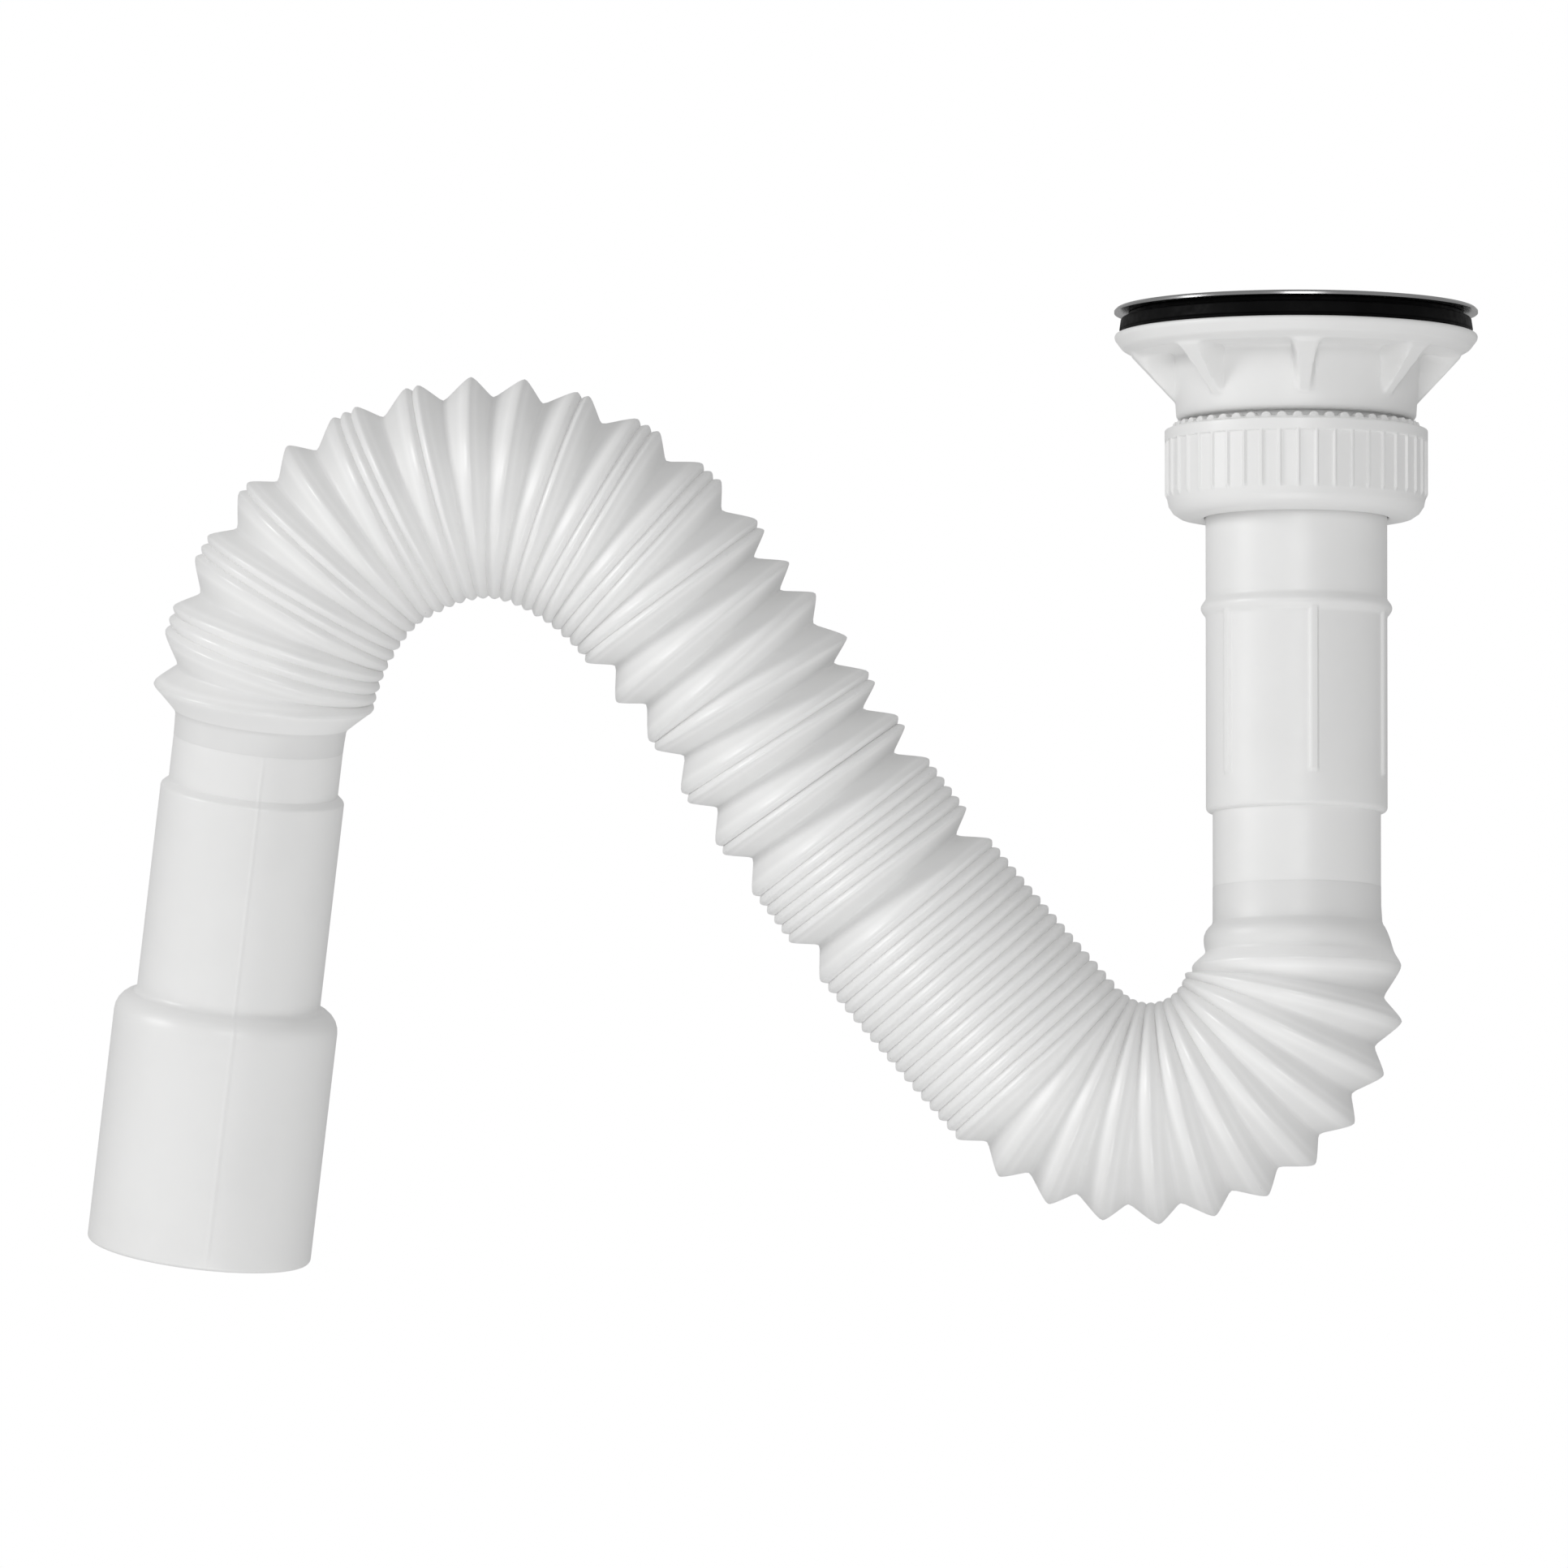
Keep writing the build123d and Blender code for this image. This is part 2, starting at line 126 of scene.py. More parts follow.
# One mesh from several closed shells, smooth except over sharp corners.
def pieceFrom(name, shells, material, sharp=40, marks=None):
    start = np.cumsum([0] + [len(points) for points, quads in shells])
    points = np.concatenate([points for points, quads in shells]) * mm
    quads = np.concatenate([quads + first for (unused, quads), first in zip(shells, start)])
    mesh = bpy.data.meshes.new(name)
    mesh.from_pydata(points.tolist(), [], quads.tolist())
    for label, values in (marks or {}).items():
        layer = mesh.attributes.new(label, "FLOAT", "POINT")
        layer.data.foreach_set("value", values.astype(np.float32).ravel())
    work = bmesh.new()
    work.from_mesh(mesh)
    bmesh.ops.remove_doubles(work, verts=work.verts, dist=1e-7)
    work.to_mesh(mesh)
    work.free()
    mesh.polygons.foreach_set("use_smooth", np.ones(len(mesh.polygons), bool))
    mesh.set_sharp_from_angle(angle=math.radians(sharp))
    mesh.materials.append(material)
    made = bpy.data.objects.new(name, mesh)
    scene.collection.objects.link(made)
    print("made", name, len(mesh.polygons), "faces")
    return made


# Angles round a full turn, as one row
def fullTurn(count):
    return np.linspace(0, 2 * np.pi, count, endpoint=False)[None]


# 3 t^2 - 2 t^3, where t runs from 0 at low to 1 at high
def smoothStep(x, low, high):
    t = np.clip((x - low) / (high - low), 0, 1)
    return t * t * (3 - 2 * t)


# 1 in the middle of each of count places round the axis, 0 beyond the half width (mm) on this radius
def aroundMask(angle, count, phase, radius, halfWidth, soft):
    step = 2 * np.pi / count
    off = np.abs((angle - math.radians(phase) + step / 2) % step - step / 2) * radius
    return 1 - smoothStep(off, halfWidth - soft, halfWidth + soft)


def newMaterial(name):
    material = bpy.data.materials.new(name)
    material.use_nodes = True
    tree = material.node_tree
    coords = tree.nodes.new("ShaderNodeTexCoord").outputs["Object"]
    return material, tree, tree.nodes["Principled BSDF"], coords


def addNode(tree, kind, **settings):
    node = tree.nodes.new(kind)
    for key, value in settings.items():
        if key in node.inputs:
            node.inputs[key].default_value = value
        else:
            setattr(node, key, value)
    return node


def noiseOn(tree, coords, scale, detail=3.0, rough=0.55):
    noise = tree.nodes.new("ShaderNodeTexNoise")
    noise.inputs["Scale"].default_value = scale
    noise.inputs["Detail"].default_value = detail
    noise.inputs["Roughness"].default_value = rough
    tree.links.new(coords, noise.inputs["Vector"])
    return noise.outputs["Fac"]


def rampOn(tree, value, stops):
    ramp = tree.nodes.new("ShaderNodeValToRGB")
    elements = ramp.color_ramp.elements
    for element, (position, colour) in zip((elements[0], elements[1]), (stops[0], stops[-1])):
        element.position = position
        element.color = (*colour, 1)
    for position, colour in stops[1:-1]:
        elements.new(position).color = (*colour, 1)
    tree.links.new(value, ramp.inputs["Fac"])
    return ramp.outputs["Color"]


def rangeOn(tree, value, low, high, start=0.3, end=0.7):
    spread = tree.nodes.new("ShaderNodeMapRange")
    spread.inputs["From Min"].default_value = start
    spread.inputs["From Max"].default_value = end
    spread.inputs["To Min"].default_value = low
    spread.inputs["To Max"].default_value = high
    tree.links.new(value, spread.inputs["Value"])
    return spread.outputs["Result"]


def bumpOn(tree, value, strength, distance, below=None):
    bump = tree.nodes.new("ShaderNodeBump")
    bump.inputs["Strength"].default_value = strength
    bump.inputs["Distance"].default_value = distance
    tree.links.new(value, bump.inputs["Height"])
    if below:
        tree.links.new(below, bump.inputs["Normal"])
    return bump.outputs["Normal"]


glowRadius = (1.0, 1.0, 0.96)
plastic = {
    "pale": (0.835, 0.835, 0.83),
    "deep": (0.815, 0.815, 0.81),
    "roughness": (0.33, 0.43),
    "cloudScale": 38,
    "glossScale": 210,
    "grainScale": 420,
    "swellBump": 0.1,
    "grainBump": 0.02,
    "glow": 0.08,
    "glowScale": 0.001,
}


def makePlastic():
    material, tree, shader, coords = newMaterial("white_plastic_moulded")
    cloud = noiseOn(tree, coords, plastic["cloudScale"], 4)
    grain = noiseOn(tree, coords, plastic["grainScale"], 2)
    gloss = noiseOn(tree, coords, plastic["glossScale"], 3)
    colour = rampOn(tree, cloud, [(0.3, plastic["deep"]), (0.52, plastic["pale"]), (0.75, plastic["pale"])])
    tree.links.new(colour, shader.inputs["Base Color"])
    tree.links.new(rangeOn(tree, gloss, *plastic["roughness"]), shader.inputs["Roughness"])
    swell = bumpOn(tree, cloud, plastic["swellBump"], 0.0006)
    tree.links.new(bumpOn(tree, grain, plastic["grainBump"], 0.0001, swell), shader.inputs["Normal"])
    shader.inputs["Subsurface Weight"].default_value = plastic["glow"]
    shader.inputs["Subsurface Radius"].default_value = glowRadius
    shader.inputs["Subsurface Scale"].default_value = plastic["glowScale"]
    return material


whitePlastic = makePlastic()

hoseLook = {
    # colours by fold depth: the pale stop at the depth of shut bead grooves and cuffs is painted light that
    # lifts their shade, and the deep stop is painted shade in open valleys
    "crest": (0.83, 0.83, 0.825),
    "seam": (0.91, 0.91, 0.905),
    "side": (0.845, 0.845, 0.84),
    "groove": (0.82, 0.82, 0.815),
    "stops": [(0.0, "crest"), (0.16, "seam"), (0.3, "side"), (1.0, "groove")],
    # painted light: the paler colour of shut folds
    "shut": (0.87, 0.87, 0.865),
    # painted shade on the cuffs over the pipes
    "sleeve": (0.86, 0.86, 0.86),
    "cloud": (0.965, 0.965, 0.965),
    "cloudScale": 60,
    "roughness": (0.3, 0.42),
    "glossScale": 240,
    "glossSpread": 0.03,
    "bumpScale": 110,
    "bump": 0.04,
    "glow": (0.05, 0.2),
    "glowScale": 0.003,
}


def makeHosePlastic():
    material, tree, shader, coords = newMaterial("hose_plastic_blown")
    depth, shut, sleeve = (
        addNode(tree, "ShaderNodeAttribute", attribute_name=label).outputs["Fac"]
        for label in ("groove", "shut", "sleeve")
    )
    # shut folds lie wall on wall: their paler colour is painted light, standing in for light coming through
    # the double wall, and they let more light through
    pale = addNode(tree, "ShaderNodeMix", data_type="RGBA")
    tree.links.new(shut, pale.inputs["Factor"])
    # painted light and shade by fold depth: shallow bead grooves and cuffs are painted paler to lift their
    # shade, and deep open valleys a little darker as painted shade
    skin = rampOn(tree, depth, [(at, hoseLook[part]) for at, part in hoseLook["stops"]])
    tree.links.new(skin, pale.inputs["A"])
    pale.inputs["B"].default_value = (*hoseLook["shut"], 1)
    tree.links.new(rangeOn(tree, shut, *hoseLook["glow"], 0.0, 1.0), shader.inputs["Subsurface Weight"])
    # clouds in the wall darken it a little
    cloud = noiseOn(tree, coords, hoseLook["cloudScale"], 4)
    clouded = addNode(tree, "ShaderNodeMix", data_type="RGBA", blend_type="MULTIPLY")
    clouded.inputs["Factor"].default_value = 1.0
    tree.links.new(pale.outputs["Result"], clouded.inputs["A"])
    shade = rampOn(tree, cloud, [(0.3, hoseLook["cloud"]), (0.7, (1.0, 1.0, 1.0))])
    tree.links.new(shade, clouded.inputs["B"])
    # painted shade on the thin cuffs, where the pipe inside keeps light from coming through
    shadedCuff = addNode(tree, "ShaderNodeMix", data_type="RGBA", blend_type="MULTIPLY")
    tree.links.new(sleeve, shadedCuff.inputs["Factor"])
    tree.links.new(clouded.outputs["Result"], shadedCuff.inputs["A"])
    shadedCuff.inputs["B"].default_value = (*hoseLook["sleeve"], 1)
    tree.links.new(shadedCuff.outputs["Result"], shader.inputs["Base Color"])
    # crests shine a little more than the flanks
    uneven = noiseOn(tree, coords, hoseLook["glossScale"], 3)
    spread = hoseLook["glossSpread"]
    gloss = addNode(tree, "ShaderNodeMath", operation="ADD")
    tree.links.new(rangeOn(tree, depth, *hoseLook["roughness"], 0.0, 0.1), gloss.inputs[0])
    tree.links.new(rangeOn(tree, uneven, -spread, spread), gloss.inputs[1])
    tree.links.new(gloss.outputs[0], shader.inputs["Roughness"])
    waves = noiseOn(tree, coords, hoseLook["bumpScale"], 2)
    tree.links.new(bumpOn(tree, waves, hoseLook["bump"], 0.0003), shader.inputs["Normal"])
    shader.inputs["Subsurface Radius"].default_value = glowRadius
    shader.inputs["Subsurface Scale"].default_value = hoseLook["glowScale"]
    return material


hosePlastic = makeHosePlastic()


rubber = {
    "dark": (0.001, 0.001, 0.0011),
    "pale": (0.003, 0.003, 0.0032),
    "roughness": (0.42, 0.62),
    "bump": 0.12,
    "shine": 0.06,
}


def makeRubber():
    material, tree, shader, coords = newMaterial("black_rubber_moulded")
    cloud = noiseOn(tree, coords, 120, 5)
    gloss = noiseOn(tree, coords, 500, 4)
    grain = noiseOn(tree, coords, 1500, 3)
    colour = rampOn(tree, cloud, [(0.35, rubber["dark"]), (0.7, rubber["pale"])])
    tree.links.new(colour, shader.inputs["Base Color"])
    tree.links.new(rangeOn(tree, gloss, *rubber["roughness"]), shader.inputs["Roughness"])
    tree.links.new(bumpOn(tree, grain, rubber["bump"], 0.0002), shader.inputs["Normal"])
    shader.inputs["Specular IOR Level"].default_value = rubber["shine"]
    return material


blackRubber = makeRubber()


# Brushed rings: noise read along the distance from the Z axis
def makeSpunMetal(name, pale, dark, roughness, rings):
    material, tree, shader, coords = newMaterial(name)
    flat = addNode(tree, "ShaderNodeVectorMath", operation="MULTIPLY")
    flat.inputs[1].default_value = (1, 1, 0)
    tree.links.new(coords, flat.inputs[0])
    reach = addNode(tree, "ShaderNodeVectorMath", operation="LENGTH")
    tree.links.new(flat.outputs["Vector"], reach.inputs[0])
    lines = tree.nodes.new("ShaderNodeTexNoise")
    lines.noise_dimensions = "1D"
    lines.inputs["Scale"].default_value = rings
    lines.inputs["Detail"].default_value = 4.0
    tree.links.new(reach.outputs["Value"], lines.inputs["W"])
    cloud = noiseOn(tree, coords, 45, 3)
    colour = rampOn(tree, lines.outputs["Fac"], [(0.3, dark), (0.7, pale)])
    tree.links.new(colour, shader.inputs["Base Color"])
    tree.links.new(rangeOn(tree, cloud, *roughness), shader.inputs["Roughness"])
    tree.links.new(bumpOn(tree, lines.outputs["Fac"], 0.08, 0.0002), shader.inputs["Normal"])
    shader.inputs["Metallic"].default_value = 1.0
    return material


metals = {
    # the steel's own colour, set darker than plain stainless as a painted dark reflection of its
    # surroundings; the rings are its brushed lines
    "steel": {
        "pale": (0.42, 0.42, 0.42),
        "dark": (0.3, 0.3, 0.305),
        "roughness": (0.16, 0.28),
        "rings": 2600,
    },
    "brass": {
        "pale": (0.78, 0.58, 0.26),
        "dark": (0.66, 0.46, 0.18),
        "roughness": (0.25, 0.36),
        "rings": 1800,
    },
}
steel = makeSpunMetal("stainless_steel_spun", **metals["steel"])
brass = makeSpunMetal("brass_turned", **metals["brass"])
print("materials ready")


def dress(node, material):
    nodes[node].data.materials.clear()
    nodes[node].data.materials.append(material)


dress("strainer_flange", steel)
dress("centre_screw", steel)
dress("screw_insert", brass)
dress("tail_seal", blackRubber)


gaskets = {
    "thin": [(33.0, 0.0, 0.2), (37.2, 0.0, 0.25), (37.2, -1.2, 0.25), (33.0, -1.2, 0.2)],
    "thick": [(33.0, -1.2, 0.3), (38.9, -1.2, 0.5), (39.4, -4.6, 0.4), (33.0, -4.6, 0.3)],
    "lipLine": -4.0,
    "lipHalf": 0.16,
    "lipDepth": 0.22,
    "outerSide": (38.0, 38.6),
    "around": 192,
}


def makeGaskets():
    angle = fullTurn(gaskets["around"])
    thin = roundedLoop(gaskets["thin"])
    skin = ringShell(turnedGrid(thin[:, :1], thin[:, 1:], angle))
    thinPiece = pieceFrom("flange_gasket_ring", [skin], blackRubber)
    # the thick ring has a fine line round it a little above its foot
    thick = filledLoop(roundedLoop(gaskets["thick"]), 0.15)
    radius, height = thick[:, :1], thick[:, 1:]
    outside = smoothStep(radius, *gaskets["outerSide"])
    line = np.exp(-(((height - gaskets["lipLine"]) / gaskets["lipHalf"]) ** 2))
    radius = radius - gaskets["lipDepth"] * outside * line
    thickPiece = pieceFrom("basin_gasket_ring", [ringShell(turnedGrid(radius, height, angle))], blackRubber)
    for piece, node in ((thinPiece, "flange_gasket"), (thickPiece, "basin_gasket")):
        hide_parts(node)
        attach(piece, "waste")


makeGaskets()


body = {
    "outline": [
        (31.0, -4.6, 0.4), (38.6, -4.6, 0.3), (40.5, -4.85, 0.7), (40.2, -6.0, 0.6), (38.7, -8.0, 2.4),
        (36.3, -9.3, 1.4), (27.5, -9.4, 1.5), (26.6, -24.0, 1.3), (20.4, -24.0, 0.5), (24.4, -21.0, 1.0),
        (24.4, -9.4, 1.2), (31.0, -6.4, 0.8),
    ],
    "gussetTop": (37.4, -8.9),
    "gussetFoot": (26.86, -20.2),
    "gussetCount": 8,
    "gussetPhase": 3.0,
    "gussetCore": 0.75,
    "gussetTaper": 1.6,
    "gussetFillet": 1.6,
    "gussetFlare": 1.0,
    "crowding": 0.6,
    "skirtInside": 26.3,
    "spigot": [(20.4, -23.0, 0.4), (23.9, -23.0, 0.4), (23.9, -39.2, 0.6), (20.4, -39.2, 0.4)],
    "threadPitch": 2.309,
    "threadDepth": 0.25,
    "threadSink": 0.1,
    "threadSide": (23.3, 23.8),
    "threadStart": (24.4, 25.0),
    "threadEnd": (-38.6, -37.6),
    "hub": [(4.65, -11.6, 0.3), (7.4, -11.6, 0.5), (7.4, -22.4, 0.4), (4.65, -22.4, 0.3)],
    "web": [(5.2, -11.6, 0.2), (25.2, -11.6, 0.2), (25.2, -22.4, 0.2), (5.2, -22.4, 0.2)],
    "webHalf": 1.3,
    "webEdge": 0.3,
    "around": 384,
    "insideAround": 160,
}


def makeBody():
    # points crowd at the gussets: a = t - crowding sin(n t) / n, turned by the phase
    count, phase = body["gussetCount"], math.radians(body["gussetPhase"])
    turn = fullTurn(body["around"])
    angle = turn - body["crowding"] * np.sin(count * turn) / count + phase
    loop = filledLoop(roundedLoop(body["outline"], 6), 0.6)
    radius, height = loop[:, :1], loop[:, 1:]
    # along bowl and skirt a share s runs from 0 to 1,
    # and a gusset pulls the wall to the point s of its straight edge
    (topR, topZ), (footR, footZ) = body["gussetTop"], body["gussetFoot"]
    share = ((topR - radius) + (topZ - height)) / ((topR - footR) + (topZ - footZ))
    onWall = (radius > body["skirtInside"]) & (height < topZ)
    share = np.clip(np.where(onWall, share, 0), 0, 1)
    step = 2 * np.pi / count
    edgeR, edgeZ = topR + share * (footR - topR), topZ + share * (footZ - topZ)
    off = np.abs((angle - phase + step / 2) % step - step / 2) * edgeR
    core = body["gussetCore"] + body["gussetTaper"] * (1 - share)
    fillet = body["gussetFillet"] + body["gussetFlare"] * (1 - share) ** 2
    pull = 1 - smoothStep(off, core, core + fillet)
    pull = pull * smoothStep(share, 0.0, 0.1) * (share < 1)
    radius = radius + pull * (edgeR - radius)
    height = height + pull * (edgeZ - height)
    shells = [ringShell(turnedGrid(radius, height, angle))]

    # the spigot's thread is a wave that climbs one pitch in each turn
    around = fullTurn(body["insideAround"])
    spigot = filledLoop(roundedLoop(body["spigot"]), 0.3)
    radius, height = spigot[:, :1], spigot[:, 1:]
    threaded = smoothStep(radius, *body["threadSide"])
    threaded = threaded * smoothStep(-height, *body["threadStart"]) * smoothStep(height, *body["threadEnd"])
    wave = np.cos(2 * np.pi * (height / body["threadPitch"] + around / (2 * np.pi)))
    rise = body["threadDepth"] * (0.5 + 0.5 * wave) - body["threadSink"]
    shells.append(ringShell(turnedGrid(radius + rise * threaded, height, around)))

    def radial(at):
        # the plate's outline lies in a plane through the axis at this angle
        c, s = math.cos(at), math.sin(at)
        return lambda r, across, z: np.stack([r * c - across * s, r * s + across * c, z], -1)

    hub = roundedLoop(body["hub"])
    shells.append(ringShell(turnedGrid(hub[:, :1], hub[:, 1:], around)))
    web = filledLoop(roundedLoop(body["web"]), 1.0)
    for k in range(4):
        shells.append(plateShell(web, body["webHalf"], body["webEdge"], radial(np.pi / 2 * k)))
    piece = pieceFrom("waste_body_moulding", shells, whitePlastic)
    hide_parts("waste_body")
    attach(piece, "waste")


makeBody()


nut = {
    "outline": [
        (24.2, -25.6, 0.4), (27.3, -25.6, 0.3), (28.7, -26.3, 0.4), (28.7, -45.95, 4.5), (20.45, -45.95, 0.5),
        (20.45, -44.35, 0.3), (24.2, -44.35, 0.3),
    ],
    "ribCount": 44,
    "ribTop": -28.9,
    "ribFoot": -41.4,
    "ribDepth": 0.52,
    "ribHalf": 0.36,
    "ribSoft": 0.22,
    "ribRadius": 28.8,
    "pipCount": 48,
    "pipHeight": 0.9,
    "pipHalf": 1.05,
    "pipRadius": 26.2,
    "pipBase": (-25.95, -25.65),
    "pipInner": (24.6, 25.1),
    "pipOuter": (27.2, 27.7),
    "outerSide": (27.6, 28.6),
    "around": 1056,
}


def makeNut():
    # a band stands out above the ribs, which are as proud as it is, and half-round pips ring the top
    angle = fullTurn(nut["around"])
    loop = filledLoop(roundedLoop(nut["outline"], 5), 0.3)
    nearTop = (loop[:, 0] > 24.4) & (loop[:, 1] > nut["ribTop"] - 0.8)
    nearFoot = (loop[:, 0] > 27.0) & (np.abs(loop[:, 1] - nut["ribFoot"]) < 1.2)
    loop = thinnedLoop(loop, nearTop | nearFoot)
    radius, height = loop[:, :1], loop[:, 1:]
    outside = smoothStep(radius, *nut["outerSide"])
    band = smoothStep(height, nut["ribTop"] - 0.15, nut["ribTop"] + 0.25)
    foot = smoothStep(height, nut["ribFoot"] - 0.4, nut["ribFoot"] + 1.0) * (1 - band)
    rib = aroundMask(angle, nut["ribCount"], 0, nut["ribRadius"], nut["ribHalf"], nut["ribSoft"])
    grown = radius + nut["ribDepth"] * outside * np.maximum(band, foot * rib)
    step = 2 * np.pi / nut["pipCount"]
    off = np.abs((angle + step / 2) % step - step / 2) * nut["pipRadius"]
    pip = np.sqrt(np.clip(1 - (off / nut["pipHalf"]) ** 2, 0, 1))
    top = smoothStep(height, *nut["pipBase"]) * smoothStep(radius, *nut["pipInner"])
    top = top * (1 - smoothStep(radius, *nut["pipOuter"]))
    rows = turnedGrid(grown, height + nut["pipHeight"] * top * pip, angle)
    piece = pieceFrom("union_nut_ribbed", [ringShell(rows)], whitePlastic)
    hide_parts("union_nut")
    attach(piece, "nut")


makeNut()


tail = {
    "outline": [
        (17.95, -41.8, 0.3), (23.6, -41.8, 0.4), (23.6, -44.3, 0.3), (20.15, -44.3, 0.3),
        (20.15, -111.2, 1.1), (18.65, -111.5, 0.25), (18.65, -128.1, 0.02), (16.8, -128.1, 0.02),
        (16.8, -141.05, 0.4), (14.6, -141.05, 0.3), (14.6, -111.45, 0.6), (17.95, -109.95, 0.6),
    ],
    "beadMiddle": -65.95,
    "beadHalf": 2.0,
    "beadRise": 1.1,
    "beadPower": 1.2,
    "ribCount": 6,
    "ribPhase": -80.0,
    "ribDepth": 0.65,
    "ribHalf": 0.95,
    "ribSoft": 0.3,
    "ribRadius": 20.15,
    "ribFoot": -103.95,
    "outerSide": (19.4, 20.0),
    "around": 480,
}


def makeTail():
    # the bead is a half-round swell of the wall, and six low ribs run down from it
    angle = fullTurn(tail["around"])
    loop = filledLoop(roundedLoop(tail["outline"], 7), 0.4)
    nearBead = np.abs(loop[:, 1] - tail["beadMiddle"]) < 2.8
    nearFoot = np.abs(loop[:, 1] - tail["ribFoot"]) < 1.4
    loop = thinnedLoop(loop, (nearBead | nearFoot) & (loop[:, 0] > 20.0))
    radius, height = loop[:, :1], loop[:, 1:]
    outside = smoothStep(radius, *tail["outerSide"])
    off = np.clip(np.abs(height - tail["beadMiddle"]) / tail["beadHalf"], 0, 1)
    bead = tail["beadRise"] * np.cos(off * np.pi / 2) ** tail["beadPower"]
    span = smoothStep(tail["beadMiddle"] - height, 0, 0.5) * smoothStep(height - tail["ribFoot"], -0.3, 0.8)
    place = tail["ribCount"], tail["ribPhase"], tail["ribRadius"]
    rib = tail["ribDepth"] * span * aroundMask(angle, *place, tail["ribHalf"], tail["ribSoft"])
    rows = turnedGrid(radius + outside * np.maximum(bead, rib), height, angle)
    piece = pieceFrom("tail_pipe_moulding", [ringShell(rows)], whitePlastic)
    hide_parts("tail_pipe")
    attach(piece, "tail")


makeTail()


hose = {
    "crest": 24.6,
    "longSlant": 8.6,
    "shortSlant": 7.3,
    "beadGroove": 1.05,
    "beadPitch": 2.7,
    "archReach": 0.96,
    "archShare": 0.6,
    "openPower": 0.85,
    "rootRound": (0.06, 0.08),
    "crestRound": 0.7,
    "packed": 6.8,
    "packGap": 0.15,
    "wall": 1.3,
    "firstInset": 1.5,
    # each kind of fold's pitch on the upper and on the lower side
    "pitches": {
        "U": (11.99, 2.33),
        "L": (1.78, 12.56),
        "O": (9.03, 11.19),
        "C": (2.72, 2.65),
        "S": (2.76, 2.88),
    },
    "folds": "L" * 11 + "S" * 16 + "O" + "C" * 5 + "OCOCOUOO" + "CUCCUCCUCUUUCUCCUUCUCCUCCU",
    "lean": 8.0,
    "leanFolds": 4,
    "top": -128.05,
    "firstRidge": -145.45,
    # distance below the cuff's edge, radius, and radius on the right, down to the waist above the first ridge
    "tailCuff": [
        (0.0, 18.68, 18.68), (2.0, 18.68, 18.68), (4.0, 18.68, 18.7), (7.7, 18.7, 18.95),
        (8.3, 18.9, 19.15), (9.0, 19.6, 19.6), (9.8, 20.2, 20.0), (10.8, 20.6, 20.4),
        (11.8, 20.7, 20.75), (13.0, 20.6, 21.1), (14.0, 20.35, 21.4), (14.5, 20.3, 21.6),
        (15.0, 20.6, 21.85), (16.2, 22.0, 22.6), (17.0, 22.85, 23.0),
    ],
    # where the painted shade on the tail cuff fades out
    "tailShadeSpan": (11.5, 16.0),
    "tailBore": 16.85,
    "tailBoreEnd": 14.5,
    # distance past the last ridge and radius, down to the cuff's edge
    "outletCuff": [
        (0.5, 24.3), (1.4, 23.3), (3.4, 21.2), (4.7, 19.9), (5.0, 19.6), (5.6, 19.2),
        (6.2, 19.1), (8.5, 18.97), (10.5, 18.93),
    ],
    "outletShadeSpan": (4.7, 5.0),
    "outletBore": 16.95,
    "outletBoreStart": 5.6,
    "splitFold": 34,
    "deepest": 6.0,
    "sharp": 85,
    "around": 128,
}
rowShares = np.array([0, 0.05, 0.12, 0.22, 0.33, 0.43, 0.5, 0.57, 0.67, 0.78, 0.88, 0.95])
liningShares = np.array([0.1, 0.35, 0.5, 0.65, 0.9])


def turnBy(axis, degrees):
    c, s = math.cos(math.radians(degrees)), math.sin(math.radians(degrees))
    made = np.eye(4)
    i, j = ((1, 2), (2, 0))[axis]
    made[i, i] = made[j, j] = c
    made[i, j], made[j, i] = -s, s
    return made


def liftBy(distance):
    made = np.eye(4)
    made[2, 3] = distance
    return made


# Every ridge is a frame: X to the upper side, Z on towards the outlet.
# A fold turns by the difference of its two pitches over the hose's width.
def ridgeFrames():
    here = np.diag([-1.0, 1.0, -1.0, 1.0])
    here[2, 3] = hose["firstRidge"]
    frames = [here]
    last = len(hose["folds"]) - hose["leanFolds"]
    for count, fold in enumerate(hose["folds"]):
        upper, lower = hose["pitches"][fold]
        leans = count < hose["leanFolds"] or count >= last
        lean = hose["lean"] / hose["leanFolds"] if leans else 0
        bend = math.degrees((upper - lower) / (2 * hose["crest"]))
        half = turnBy(0, -lean / 2) @ turnBy(1, -bend / 2)
        frames.append(frames[-1] @ half @ liftBy((upper + lower) / 2) @ half)
    return np.array(frames)


ridges = ridgeFrames()


# A circle of this radius, this far along a frame's Z
def circleRows(frameAt, offsets, radii, angle):
    offsets = np.asarray(offsets, float)[:, None]
    radii = np.asarray(radii, float).reshape(len(offsets), -1)
    local = np.stack([radii * np.cos(angle), radii * np.sin(angle), offsets + 0 * angle], -1)
    return local @ frameAt[:3, :3].T + frameAt[:3, 3]


